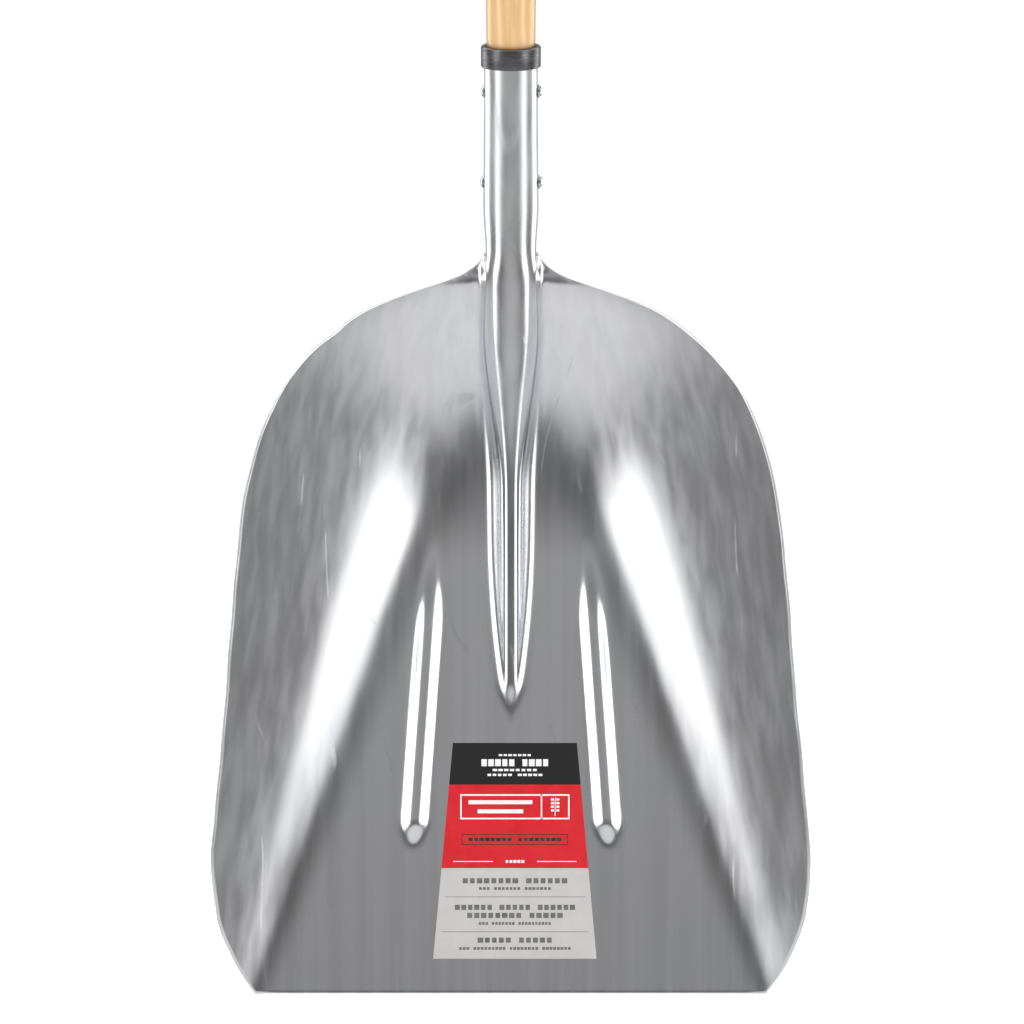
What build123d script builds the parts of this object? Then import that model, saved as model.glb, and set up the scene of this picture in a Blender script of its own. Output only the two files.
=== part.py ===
from build123d import *
import os
from bisect import bisect_right
from math import acos, cos, hypot, pi, radians, sin, sqrt, tan

# Grain scoop shovel, in millimetres. +Z runs from the leading edge of the pan up to the grip,
# -Y is the open side of the pan, and the origin is the middle of the leading edge.
# "Rise" is the distance from the floor of the pan towards -Y.

# ---- the pressed scoop ----------------------------------------------------------------------

SHEET = 1.8                  # thickness of the aluminium sheet
LIFT = radians(15.5)         # lean of the socket and the handle over the plane of the floor

NECK_Z = 477.0               # height of the neck, where the socket leaves the pan
NECK_RISE = 41.5             # rise of the socket's axis at the neck
NECK_RADIUS = 18.0           # outside radius of the rolled socket at the neck
SOCKET_RADIUS = 17.2         # outside radius at its mouth
SOCKET_LENGTH = 142.0        # from the neck to the mouth, along the axis
SEAM_GAP = 1.6               # gap between the rolled edges, along the back of the socket
CURL_BOTTOM, CURL_TOP = 463.0, 516.0   # heights between which the pan's edges curl into a tube

FLOOR_FRONT = 160.0          # half-width of the flat floor at the leading edge
FLOOR_TAPER = 0.42           # how fast the flat floor narrows towards the neck
FLOOR_PINCH = 34.0           # how far past the middle its sides run on, behind the ridge
PINCH_FADE_BOTTOM, PINCH_FADE_TOP = 462.0, 486.0   # heights between which that ends
SIDE_SLOPE = 1.07            # steepest slope of the side walls
SIDE_FOLD = 26.0             # softness of the side fold at the leading edge
SIDE_FOLD_GROWTH = 0.175     # how fast that fold opens towards the neck
SIDE_FOLD_MOST = 85.0        # softness of the side fold at the back of the pan
BACK_START = 283.0           # height at which the back wall leaves the floor
BACK_SLOPE = 0.34            # steepest slope of the back wall
BACK_FOLD = 115.0            # softness of the back fold

RIDGE_TIP = 176.0            # height of the tip of the hollow centre ridge
RIDGE_SLOPE = 0.137          # rise of its crest near the tip
RIDGE_FADE = 30.0            # length over which the tip comes out of the floor
CREST_RADIUS = 6.5           # rounding of the crest, where the ridge is low
FOOT_RADIUS = 14.0           # rounding of the foot, where the ridge is low
FOOT_RADIUS_NECK = 10.0      # and at the neck
RIDGE_ROUND_BOTTOM, RIDGE_ROUND_TOP = 330.0, 440.0   # where the crest becomes the socket's round
STEEPEST_FLANK = radians(82)

RIB_HEIGHT = 4.6
RIB_HALF_WIDTH = 12.0
RIB_BOTTOM, RIB_TOP = 95.0, 302.0
RIB_BOTTOM_RUNOUT = 20.0     # length over which the blunt lower end of a rib fades away
RIB_TOP_RUNOUT = 62.0        # and its long upper end
RIB_OFFSET = 64.0            # distance of a rib from the middle, at RIB_OFFSET_Z
RIB_OFFSET_Z = 105.0
RIB_SPLAY = 0.071            # how fast the ribs close in towards the neck

# (height, half-width) of the pan, from just past the leading edge to just past the neck
OUTLINE = [
    (-6, 162.5), (0, 168), (24, 181.5), (56, 191.5), (90, 194), (122, 191), (190, 184),
    (318, 171), (360, 161), (392, 147.5), (416, 130), (432, 113), (445, 95), (454, 76),
    (461, 57), (467, 41), (472, 32), (478, 27), (486, 25), (520, 24.5),
]

POINTS_PER_SIDE = 34         # points of a section's line, from the middle to the rim
FINE_STEPS = 2000            # steps of the walk along a section that places those points

# ---- socket fittings ------------------------------------------------------------------------

COLLAR_LENGTH = 13.5
COLLAR_RADIUS = 19.2
COLLAR_LIP = 1.5             # how far the collar reaches past the mouth
COLLAR_BEVEL = 1.2
SLIP = 0.1                   # clearance between pieces pushed over each other
COLLAR_SLIP = 0.5            # clearance of the collar round the rolled socket

LOWER_RIVET_AT = 55.0        # distances along the axis from the neck
UPPER_RIVET_AT = 114.0
RIVET_RADIUS = 2.5
RIVET_HEAD_RADIUS = 4.1
RIVET_HEAD_HEIGHT = 2.1
RIVET_TAIL_RADIUS = 3.4
RIVET_TAIL_HEIGHT = 1.9
BURR_RADIUS = 4.5
BURR_THICKNESS = 0.9

# ---- handle ---------------------------------------------------------------------------------

SHAFT_FOOT_AT = 34.0         # where the shaft's tapered foot ends, inside the socket
SHAFT_FOOT_RADIUS = 10.5
SHAFT_SEAT_RADIUS = 15.0     # fitted length inside the socket
SHAFT_COLLAR_RADIUS = 15.7   # where it comes out of the collar
SHAFT_RADIUS = 18.0
SHAFT_SWELL_END = 272.0      # where it has swollen to its full radius
SHAFT_NECK_RADIUS = 16.6     # where it enters the grip's ferrule
SHAFT_NECK_START_AT, SHAFT_NECK_END_AT = 538.0, 558.0
SHAFT_TOP_AT = 628.0

# ---- grip -----------------------------------------------------------------------------------

FERRULE_BOTTOM_AT, FERRULE_TOP_AT = 560.0, 632.0
FERRULE_RADIUS = 18.2
YOKE_SHEET = 2.2
ARM_WIDTH = 24.0
ARM_OFFSET = 54.0            # distance of each arm's sheet from the middle
ARM_FLANGE = 7.5             # depth of the arms' turned-in edges
ARM_FLANGE_END_AT = 690.0
CROSSBAR_AT = 712.0          # distance of the crossbar from the neck
CROSSBAR_RADIUS = 15.5
CROSSBAR_END_RADIUS = 12.6
ROD_RADIUS = 4.0
ROD_HEAD_RADIUS = 7.0
ROD_HEAD_HEIGHT = 3.0
ROD_TIP_RADIUS = 1.0         # small flat left by the hammer on each head
ROD_WASHER_RADIUS = 9.5
ROD_WASHER_THICKNESS = 1.3
YOKE_RIVET_AT = 596.0

# ---- label ----------------------------------------------------------------------------------

LABEL_BOTTOM_Z, LABEL_TOP_Z = 23.0, 165.0
LABEL_BOTTOM_WIDTH, LABEL_TOP_WIDTH = 107.5, 81.6
LABEL_CENTRE_X = 2.6
LABEL_THICKNESS = 0.2

# ---- planes and axes of the handle ----------------------------------------------------------

HANDLE_DIRECTION = Vector(0, -sin(LIFT), cos(LIFT))
HANDLE_FRONT = Vector(0, -cos(LIFT), -sin(LIFT))
NECK = Vector(0, -NECK_RISE, NECK_Z)
HANDLE_AXIS = Axis(NECK, HANDLE_DIRECTION)
LENGTHWISE = Plane(origin=NECK, x_dir=(1, 0, 0), z_dir=HANDLE_FRONT)   # x across, y along the handle


def along(distance):
    """The point of the handle's axis at a distance from the neck."""
    return NECK + HANDLE_DIRECTION * distance


# ---- shape of the pressing ------------------------------------------------------------------

def ease(share):
    """0 below 0, 1 above 1, and a smooth step between."""
    share = min(max(share, 0.0), 1.0)
    return share * share * (3 - 2 * share)


def ramp(distance, softness):
    """Nothing below zero and the distance above it, with a soft bend at zero."""
    return (distance + hypot(distance, softness)) / 2


def fold(distance, slope, softness):
    """Rise of a sheet that leaves the floor and turns to a slope."""
    return slope * (hypot(distance, softness) - softness)


def half_width(z):
    """Half-width of the pan: a smooth curve through OUTLINE that never overshoots."""
    heights = [point[0] for point in OUTLINE]
    widths = [point[1] for point in OUTLINE]
    spans = [b - a for a, b in zip(heights, heights[1:])]
    slopes = [(b - a) / span for a, b, span in zip(widths, widths[1:], spans)]

    def tangent(i):
        if i == 0:
            return slopes[0]
        if i == len(slopes):
            return slopes[-1]
        before, after = slopes[i - 1], slopes[i]
        if before * after <= 0:
            return 0.0
        return 2 * before * after / (before + after)

    i = min(max(bisect_right(heights, z) - 1, 0), len(spans) - 1)
    t = (z - heights[i]) / spans[i]
    return (
        (1 + 2 * t) * (1 - t) ** 2 * widths[i]
        + t * (1 - t) ** 2 * spans[i] * tangent(i)
        + t * t * (3 - 2 * t) * widths[i + 1]
        + t * t * (t - 1) * spans[i] * tangent(i + 1)
    )


def axis_rise(z):
    return NECK_RISE + (z - NECK_Z) * tan(LIFT)


def tube_radius(z):
    mouth_z = NECK_Z + SOCKET_LENGTH * cos(LIFT)
    return NECK_RADIUS + (SOCKET_RADIUS - NECK_RADIUS) * ease((z - NECK_Z) / (mouth_z - NECK_Z - 20))


def wall_rise(x, z):
    """The pan without its ridge and ribs: flat floor, side walls and back wall."""
    pinch = FLOOR_PINCH * (1 - ease((z - PINCH_FADE_BOTTOM) / (PINCH_FADE_TOP - PINCH_FADE_BOTTOM)))
    floor_half_width = ramp(FLOOR_FRONT + pinch - FLOOR_TAPER * z, 10) - pinch
    across = hypot(x, ramp(-floor_half_width, 10))
    softness = SIDE_FOLD_MOST - ramp(SIDE_FOLD_MOST - SIDE_FOLD - SIDE_FOLD_GROWTH * z, 8)
    side = fold(ramp(across - floor_half_width, 8), SIDE_SLOPE, softness)
    back = fold(ramp(z - BACK_START, 10), BACK_SLOPE, BACK_FOLD)
    return hypot(side, back)


def crest_rise(z):
    """The line of the ridge's crest, which runs on as the front of the socket."""
    socket_front = axis_rise(z) + tube_radius(z) / cos(LIFT)
    low_crest = RIDGE_SLOPE * ramp(z - RIDGE_TIP, 10)
    return socket_front + ramp(low_crest - socket_front, 6)


def ridge_rise(x, z):
    """The ridge over the wall: a round crest, a short flank and a hollow foot."""
    height = (crest_rise(z) - wall_rise(0, z)) * ease((z - RIDGE_TIP) / RIDGE_FADE)
    if height <= 0:
        return 0.0
    roundness = ease((z - RIDGE_ROUND_BOTTOM) / (RIDGE_ROUND_TOP - RIDGE_ROUND_BOTTOM))
    crest = CREST_RADIUS + (NECK_RADIUS - CREST_RADIUS) * roundness
    foot = FOOT_RADIUS + (FOOT_RADIUS_NECK - FOOT_RADIUS) * roundness
    flank = min(acos(max(1 - height / (crest + foot), 0.0)), STEEPEST_FLANK)
    straight = (height - (crest + foot) * (1 - cos(flank))) / tan(flank)
    crest_end = crest * sin(flank)
    foot_start = crest_end + straight
    foot_end = foot_start + foot * sin(flank)
    across = abs(x)
    if across <= crest_end:
        return height - crest + sqrt(crest * crest - across * across)
    if across <= foot_start:
        return foot * (1 - cos(flank)) + (foot_start - across) * tan(flank)
    if across < foot_end:
        return foot - sqrt(foot * foot - (foot_end - across) ** 2)
    return 0.0


def rib_rise(x, z):
    centre = RIB_OFFSET - (z - RIB_OFFSET_Z) * RIB_SPLAY
    ends = ease((z - RIB_BOTTOM) / RIB_BOTTOM_RUNOUT) * ease((RIB_TOP - z) / RIB_TOP_RUNOUT)
    off_centre = abs(abs(x) - centre) / (RIB_HALF_WIDTH * (0.6 + 0.4 * ends))
    if off_centre >= 1:
        return 0.0
    return RIB_HEIGHT * ends * (1 + cos(pi * off_centre)) / 2


def pan_rise(x, z):
    return wall_rise(x, z) + ridge_rise(x, z) + rib_rise(x, z)


def shares():
    """Where the points of a section lie between the middle and the rim: closer near the middle."""
    steps = [i / POINTS_PER_SIDE for i in range(POINTS_PER_SIDE + 1)]
    return [0.5 * t + 0.5 * t * t for t in steps]


def pan_half(z):
    """Points of the pan's section at a height, spaced by their share of its length."""
    rim = half_width(z)
    walk = [rim * i / FINE_STEPS for i in range(FINE_STEPS + 1)]
    rises = [pan_rise(x, z) for x in walk]
    lengths = [0.0]
    for i in range(FINE_STEPS):
        lengths.append(lengths[-1] + hypot(walk[i + 1] - walk[i], rises[i + 1] - rises[i]))
    found = []
    for share in shares():
        target = share * lengths[-1]
        i = min(bisect_right(lengths, target), FINE_STEPS) - 1
        part_way = (target - lengths[i]) / (lengths[i + 1] - lengths[i])
        x = walk[i] + (walk[i + 1] - walk[i]) * part_way
        found.append((x, pan_rise(x, z)))
    return found


def tube_half(z):
    """Points of the rolled socket's section at a height, from its front round to the seam."""
    radius = tube_radius(z)
    seam_angle = pi - SEAM_GAP / 2 / radius
    angles = [share * seam_angle for share in shares()]
    return [(radius * sin(a), axis_rise(z) + radius * cos(a) / cos(LIFT)) for a in angles]


def sheet_half(z):
    """The section's line from the middle to the rim, as the pan curls into the socket."""
    curl = ease((z - CURL_BOTTOM) / (CURL_TOP - CURL_BOTTOM))
    if curl == 0:
        return pan_half(z)
    if curl == 1:
        return tube_half(z)
    mixed = []
    for (pan_x, pan_up), (tube_x, tube_up) in zip(pan_half(z), tube_half(z)):
        mixed.append((pan_x + (tube_x - pan_x) * curl, pan_up + (tube_up - pan_up) * curl))
    return mixed


def sheet_face(z):
    """The cut through the sheet at a height. Its two splines share their parameters from one
    section to the next, which a builder line can't state, so the loft stays light."""
    half = sheet_half(z)
    line = [(-x, up) for x, up in reversed(half[1:])] + half
    inside = []
    for i in range(len(line)):
        before, after = line[max(i - 1, 0)], line[min(i + 1, len(line) - 1)]
        run, climb = after[0] - before[0], after[1] - before[1]
        reach = SHEET / hypot(run, climb)
        inside.append((line[i][0] + climb * reach, line[i][1] - run * reach))
    half_shares = [share / 2 for share in shares()]
    parameters = [0.5 - share for share in reversed(half_shares[1:])]
    parameters += [0.5 + share for share in half_shares]
    front = Edge.make_spline([(x, -up, z) for x, up in line], parameters=parameters)
    back = Edge.make_spline([(x, -up, z) for x, up in inside], parameters=parameters)
    ends = [Edge.make_line(front @ 1, back @ 1), Edge.make_line(back @ 0, front @ 0)]
    return Face(Wire([front, ends[0], back, ends[1]]))


def section_heights():
    """Heights of the sections: closer at the leading corners, along the ridge and at the neck."""
    heights = [-6.0]
    past_mouth = NECK_Z + (SOCKET_LENGTH + 25) * cos(LIFT)
    while heights[-1] < past_mouth:
        z = heights[-1]
        if 24 <= z < 170:
            heights.append(z + 14)
        elif z < 24 or 430 <= z < 455:
            heights.append(z + 7.5)
        elif z < 230:
            heights.append(z + 9)
        elif z < 430:
            heights.append(z + 12)
        elif z < CURL_TOP:
            heights.append(z + 5.5)
        else:
            heights.append(z + 24)
    return heights


# ---- scoop: pan, ridge, ribs and socket, pressed from one sheet -------------------------------

sections = [sheet_face(z) for z in section_heights()]
mouth_plane = Plane(origin=along(SOCKET_LENGTH), x_dir=(1, 0, 0), z_dir=HANDLE_DIRECTION)

with BuildPart() as scoop:
    loft(sections=sections)
    split(bisect_by=Plane.XY, keep=Keep.TOP)
    split(bisect_by=mouth_plane, keep=Keep.BOTTOM)
    for distance in (LOWER_RIVET_AT, UPPER_RIVET_AT):
        with BuildSketch(Plane(origin=along(distance), x_dir=HANDLE_FRONT, z_dir=(1, 0, 0))):
            Circle(RIVET_RADIUS + SLIP)
        extrude(amount=NECK_RADIUS + 5, both=True, mode=Mode.SUBTRACT)

# ---- socket_collar: steel ring round the mouth ------------------------------------------------

collar_bottom = SOCKET_LENGTH + COLLAR_LIP - COLLAR_LENGTH
collar_top = SOCKET_LENGTH + COLLAR_LIP

with BuildPart() as socket_collar:
    with BuildSketch(LENGTHWISE):
        with BuildLine():
            Polyline(
                (SOCKET_RADIUS + COLLAR_SLIP, collar_bottom),
                (COLLAR_RADIUS - COLLAR_BEVEL / 2, collar_bottom),
                (COLLAR_RADIUS, collar_bottom + COLLAR_BEVEL),
                (COLLAR_RADIUS, collar_top - COLLAR_BEVEL),
            )
            RadiusArc(
                (COLLAR_RADIUS, collar_top - COLLAR_BEVEL),
                (COLLAR_RADIUS - COLLAR_BEVEL, collar_top),
                -COLLAR_BEVEL,
            )
            Polyline(
                (COLLAR_RADIUS - COLLAR_BEVEL, collar_top),
                (SHAFT_COLLAR_RADIUS + SLIP, collar_top),
                (SHAFT_COLLAR_RADIUS + SLIP, SOCKET_LENGTH + SLIP),
                (SOCKET_RADIUS + COLLAR_SLIP, SOCKET_LENGTH + SLIP),
                (SOCKET_RADIUS + COLLAR_SLIP, collar_bottom),
            )
        make_face()
    revolve(axis=HANDLE_AXIS)

# ---- handle_shaft: turned hardwood -------------------------------------------------------------

with BuildPart() as handle_shaft:
    with BuildSketch(LENGTHWISE):
        with BuildLine():
            Polyline(
                (0, SHAFT_TOP_AT),
                (0, SHAFT_FOOT_AT),
                (SHAFT_FOOT_RADIUS, SHAFT_FOOT_AT),
                (SHAFT_SEAT_RADIUS, LOWER_RIVET_AT - 5),
                (SHAFT_SEAT_RADIUS, SOCKET_LENGTH + SLIP),
                (SHAFT_COLLAR_RADIUS, SOCKET_LENGTH + SLIP),
            )
            Spline(
                (SHAFT_COLLAR_RADIUS, SOCKET_LENGTH + SLIP),
                (SHAFT_RADIUS, SHAFT_SWELL_END),
                tangents=((0, 1), (0, 1)),
            )
            Line((SHAFT_RADIUS, SHAFT_SWELL_END), (SHAFT_RADIUS, SHAFT_NECK_START_AT))
            Spline(
                (SHAFT_RADIUS, SHAFT_NECK_START_AT),
                (SHAFT_NECK_RADIUS - SLIP, SHAFT_NECK_END_AT),
                tangents=((0, 1), (0, 1)),
            )
            Polyline(
                (SHAFT_NECK_RADIUS - SLIP, SHAFT_NECK_END_AT),
                (SHAFT_NECK_RADIUS - SLIP, SHAFT_TOP_AT),
                (0, SHAFT_TOP_AT),
            )
        make_face()
    revolve(axis=HANDLE_AXIS)
    for distance in (LOWER_RIVET_AT, UPPER_RIVET_AT):
        with BuildSketch(Plane(origin=along(distance), x_dir=HANDLE_FRONT, z_dir=(1, 0, 0))):
            Circle(RIVET_RADIUS + SLIP)
        extrude(amount=SHAFT_RADIUS + 5, both=True, mode=Mode.SUBTRACT)
    with BuildSketch(Plane(origin=along(YOKE_RIVET_AT), x_dir=(1, 0, 0), z_dir=HANDLE_FRONT)):
        Circle(RIVET_RADIUS + SLIP)
    extrude(amount=SHAFT_RADIUS + 5, both=True, mode=Mode.SUBTRACT)


# ---- rivets and their burr washers --------------------------------------------------------------

def rivet_outline(head_face, tail_face):
    """Half of a rivet along local x: shank, domed head at -x and hammered tail at +x."""
    head_top = head_face + RIVET_HEAD_HEIGHT
    tail_top = tail_face + RIVET_TAIL_HEIGHT
    with BuildLine(Plane.XY) as outline:
        ThreePointArc(
            (-head_top, 0),
            (-head_face - RIVET_HEAD_HEIGHT * 0.76, RIVET_HEAD_RADIUS * 0.54),
            (-head_face, RIVET_HEAD_RADIUS),
        )
        Polyline(
            (-head_face, RIVET_HEAD_RADIUS),
            (-head_face, RIVET_RADIUS),
            (tail_face, RIVET_RADIUS),
            (tail_face, RIVET_TAIL_RADIUS),
            (tail_face + RIVET_TAIL_HEIGHT * 0.45, RIVET_TAIL_RADIUS),
            (tail_top, RIVET_TAIL_RADIUS * 0.5),
            (tail_top, 0),
            (-head_top, 0),
        )
    return outline.edges()


def socket_face(distance):
    """Distance from the axis to where a rivet head or a washer seats on the socket."""
    return tube_radius(NECK_Z + distance * cos(LIFT)) + SLIP / 2


with BuildPart() as lower_socket_rivet:
    with BuildSketch(Plane(origin=along(LOWER_RIVET_AT), x_dir=(1, 0, 0), z_dir=HANDLE_FRONT)):
        head_face = socket_face(LOWER_RIVET_AT)
        make_face(rivet_outline(head_face, head_face + BURR_THICKNESS))
    revolve(axis=Axis(along(LOWER_RIVET_AT), (1, 0, 0)))

with BuildPart() as upper_socket_rivet:
    with BuildSketch(Plane(origin=along(UPPER_RIVET_AT), x_dir=(1, 0, 0), z_dir=HANDLE_FRONT)):
        head_face = socket_face(UPPER_RIVET_AT)
        make_face(rivet_outline(head_face, head_face + BURR_THICKNESS))
    revolve(axis=Axis(along(UPPER_RIVET_AT), (1, 0, 0)))

with BuildPart() as lower_socket_washer:
    seat = along(LOWER_RIVET_AT) + Vector(socket_face(LOWER_RIVET_AT), 0, 0)
    with BuildSketch(Plane(origin=seat, x_dir=HANDLE_FRONT, z_dir=(1, 0, 0))):
        Circle(BURR_RADIUS)
        Circle(RIVET_RADIUS + SLIP / 2, mode=Mode.SUBTRACT)
    extrude(amount=BURR_THICKNESS)

with BuildPart() as upper_socket_washer:
    seat = along(UPPER_RIVET_AT) + Vector(socket_face(UPPER_RIVET_AT), 0, 0)
    with BuildSketch(Plane(origin=seat, x_dir=HANDLE_FRONT, z_dir=(1, 0, 0))):
        Circle(BURR_RADIUS)
        Circle(RIVET_RADIUS + SLIP / 2, mode=Mode.SUBTRACT)
    extrude(amount=BURR_THICKNESS)

yoke_front = Plane(origin=along(YOKE_RIVET_AT), x_dir=HANDLE_FRONT, z_dir=(-1, 0, 0))

with BuildPart() as yoke_rivet:
    with BuildSketch(yoke_front):
        head_face = FERRULE_RADIUS + SLIP / 2
        make_face(rivet_outline(head_face, head_face + BURR_THICKNESS))
    revolve(axis=Axis(along(YOKE_RIVET_AT), HANDLE_FRONT))

with BuildPart() as yoke_washer:
    seat = along(YOKE_RIVET_AT) + HANDLE_FRONT * (FERRULE_RADIUS + SLIP / 2)
    with BuildSketch(Plane(origin=seat, x_dir=(1, 0, 0), z_dir=HANDLE_FRONT)):
        Circle(BURR_RADIUS)
        Circle(RIVET_RADIUS + SLIP / 2, mode=Mode.SUBTRACT)
    extrude(amount=BURR_THICKNESS)

# ---- grip_yoke: pressed steel ferrule with two flanged arms --------------------------------------

arm_bends = [
    (FERRULE_RADIUS - YOKE_SHEET / 2, FERRULE_BOTTOM_AT + 18),
    (FERRULE_RADIUS - YOKE_SHEET / 2, FERRULE_TOP_AT - 8),
    (ARM_OFFSET, FERRULE_TOP_AT + 30),
    (ARM_OFFSET, CROSSBAR_AT + ARM_WIDTH / 2),
]
flange_inset = (ARM_FLANGE - YOKE_SHEET) / 2
flange_bends = [(x - flange_inset, y) for x, y in arm_bends[:3]]
flange_bends.append((ARM_OFFSET - flange_inset, ARM_FLANGE_END_AT))
arm_middle = (FERRULE_BOTTOM_AT + 18 + CROSSBAR_AT) / 2
arm_length = CROSSBAR_AT - FERRULE_BOTTOM_AT - 18 + ARM_WIDTH
edge_plane = LENGTHWISE.offset(ARM_WIDTH / 2 - YOKE_SHEET)
other_edge_plane = LENGTHWISE.offset(-ARM_WIDTH / 2)

with BuildPart() as grip_yoke:
    with BuildSketch(LENGTHWISE):
        with BuildLine() as arm_line:
            FilletPolyline(*arm_bends, radius=24)
        trace(arm_line.line, line_width=YOKE_SHEET)
        mirror(about=Plane.YZ)
    extrude(amount=ARM_WIDTH / 2, both=True)
    for plane in (edge_plane, other_edge_plane):
        with BuildSketch(plane):
            with BuildLine() as flange_line:
                FilletPolyline(*flange_bends, radius=24)
            trace(flange_line.line, line_width=ARM_FLANGE)
            mirror(about=Plane.YZ)
        extrude(amount=YOKE_SHEET)
    with BuildSketch(Plane(origin=along(arm_middle), x_dir=HANDLE_DIRECTION, z_dir=(1, 0, 0))):
        SlotOverall(arm_length, ARM_WIDTH)
    extrude(amount=ARM_OFFSET + 10, both=True, mode=Mode.INTERSECT)
    with BuildSketch(LENGTHWISE):
        with BuildLine():
            Polyline(
                (SHAFT_NECK_RADIUS, FERRULE_BOTTOM_AT),
                (FERRULE_RADIUS, FERRULE_BOTTOM_AT),
                (FERRULE_RADIUS, FERRULE_TOP_AT),
                (SHAFT_NECK_RADIUS - 4, FERRULE_TOP_AT),
                (SHAFT_NECK_RADIUS - 4, SHAFT_TOP_AT + SLIP),
                (SHAFT_NECK_RADIUS, SHAFT_TOP_AT + SLIP),
                close=True,
            )
        make_face()
    revolve(axis=HANDLE_AXIS)
    with BuildSketch(Plane(origin=along(FERRULE_BOTTOM_AT), x_dir=(1, 0, 0), z_dir=HANDLE_DIRECTION)):
        Circle(SHAFT_NECK_RADIUS)
    extrude(amount=SHAFT_TOP_AT + SLIP - FERRULE_BOTTOM_AT, mode=Mode.SUBTRACT)
    with BuildSketch(Plane(origin=along(CROSSBAR_AT), x_dir=HANDLE_FRONT, z_dir=(1, 0, 0))):
        Circle(ROD_RADIUS + SLIP)
    extrude(amount=ARM_OFFSET + 10, both=True, mode=Mode.SUBTRACT)
    with BuildSketch(Plane(origin=along(YOKE_RIVET_AT), x_dir=(1, 0, 0), z_dir=HANDLE_FRONT)):
        Circle(RIVET_RADIUS + SLIP)
    extrude(amount=FERRULE_RADIUS + 5, both=True, mode=Mode.SUBTRACT)

# ---- grip_crossbar, grip_rod and washers ------------------------------------------------------------

across_grip = Plane(origin=along(CROSSBAR_AT), x_dir=(1, 0, 0), z_dir=HANDLE_FRONT)
grip_axis = Axis(along(CROSSBAR_AT), (1, 0, 0))
arm_inner = ARM_OFFSET - YOKE_SHEET / 2
arm_outer = ARM_OFFSET + YOKE_SHEET / 2
washer_outer = arm_outer + ROD_WASHER_THICKNESS
rod_end = washer_outer + ROD_HEAD_HEIGHT

with BuildPart() as grip_crossbar:
    with BuildSketch(across_grip):
        with BuildLine():
            Spline(
                (-arm_inner, CROSSBAR_END_RADIUS),
                (0, CROSSBAR_RADIUS),
                (arm_inner, CROSSBAR_END_RADIUS),
                tangents=((1, 0.18), (1, -0.18)),
            )
            Polyline(
                (arm_inner, CROSSBAR_END_RADIUS),
                (arm_inner, ROD_RADIUS + SLIP),
                (-arm_inner, ROD_RADIUS + SLIP),
                (-arm_inner, CROSSBAR_END_RADIUS),
            )
        make_face()
    revolve(axis=grip_axis)

with BuildPart() as grip_rod:
    with BuildSketch(across_grip):
        with BuildLine():
            Polyline((-rod_end, ROD_TIP_RADIUS), (-rod_end, 0), (rod_end, 0), (rod_end, ROD_TIP_RADIUS))
            ThreePointArc(
                (rod_end, ROD_TIP_RADIUS),
                (washer_outer + ROD_HEAD_HEIGHT * 0.74, ROD_HEAD_RADIUS * 0.54),
                (washer_outer, ROD_HEAD_RADIUS),
            )
            Polyline(
                (washer_outer, ROD_HEAD_RADIUS),
                (washer_outer, ROD_RADIUS),
                (-washer_outer, ROD_RADIUS),
                (-washer_outer, ROD_HEAD_RADIUS),
            )
            ThreePointArc(
                (-washer_outer, ROD_HEAD_RADIUS),
                (-washer_outer - ROD_HEAD_HEIGHT * 0.74, ROD_HEAD_RADIUS * 0.54),
                (-rod_end, ROD_TIP_RADIUS),
            )
        make_face()
    revolve(axis=grip_axis)

with BuildPart() as grip_washer_right:
    seat = along(CROSSBAR_AT) + Vector(arm_outer, 0, 0)
    with BuildSketch(Plane(origin=seat, x_dir=HANDLE_FRONT, z_dir=(1, 0, 0))):
        Circle(ROD_WASHER_RADIUS)
        Circle(ROD_RADIUS + SLIP, mode=Mode.SUBTRACT)
    extrude(amount=ROD_WASHER_THICKNESS)

with BuildPart() as grip_washer_left:
    seat = along(CROSSBAR_AT) - Vector(arm_outer, 0, 0)
    with BuildSketch(Plane(origin=seat, x_dir=HANDLE_FRONT, z_dir=(-1, 0, 0))):
        Circle(ROD_WASHER_RADIUS)
        Circle(ROD_RADIUS + SLIP, mode=Mode.SUBTRACT)
    extrude(amount=ROD_WASHER_THICKNESS)

# ---- product_label: sticker on the floor of the pan ---------------------------------------------------

with BuildPart() as product_label:
    with BuildSketch(Plane.XZ.offset(SLIP / 2)):
        with BuildLine():
            Polyline(
                (LABEL_CENTRE_X - LABEL_BOTTOM_WIDTH / 2, LABEL_BOTTOM_Z),
                (LABEL_CENTRE_X + LABEL_BOTTOM_WIDTH / 2, LABEL_BOTTOM_Z),
                (LABEL_CENTRE_X + LABEL_TOP_WIDTH / 2, LABEL_TOP_Z),
                (LABEL_CENTRE_X - LABEL_TOP_WIDTH / 2, LABEL_TOP_Z),
                close=True,
            )
        make_face()
    extrude(amount=LABEL_THICKNESS)

# ---- labels and files -----------------------------------------------------------------------------------

os.makedirs("parts", exist_ok=True)

pieces = {
    "scoop": scoop,
    "socket_collar": socket_collar,
    "handle_shaft": handle_shaft,
    "lower_socket_rivet": lower_socket_rivet,
    "upper_socket_rivet": upper_socket_rivet,
    "lower_socket_washer": lower_socket_washer,
    "upper_socket_washer": upper_socket_washer,
    "grip_yoke": grip_yoke,
    "yoke_rivet": yoke_rivet,
    "yoke_washer": yoke_washer,
    "grip_crossbar": grip_crossbar,
    "grip_rod": grip_rod,
    "grip_washer_left": grip_washer_left,
    "grip_washer_right": grip_washer_right,
    "product_label": product_label,
}
for name, piece in pieces.items():
    piece.part.label = name
    export_step(piece.part, f"parts/{name}.step")
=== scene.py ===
import random
from bisect import bisect_right
from math import cos, hypot, pi, radians, sin, tan

import bpy
import numpy as np
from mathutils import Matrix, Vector, noise


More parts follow.
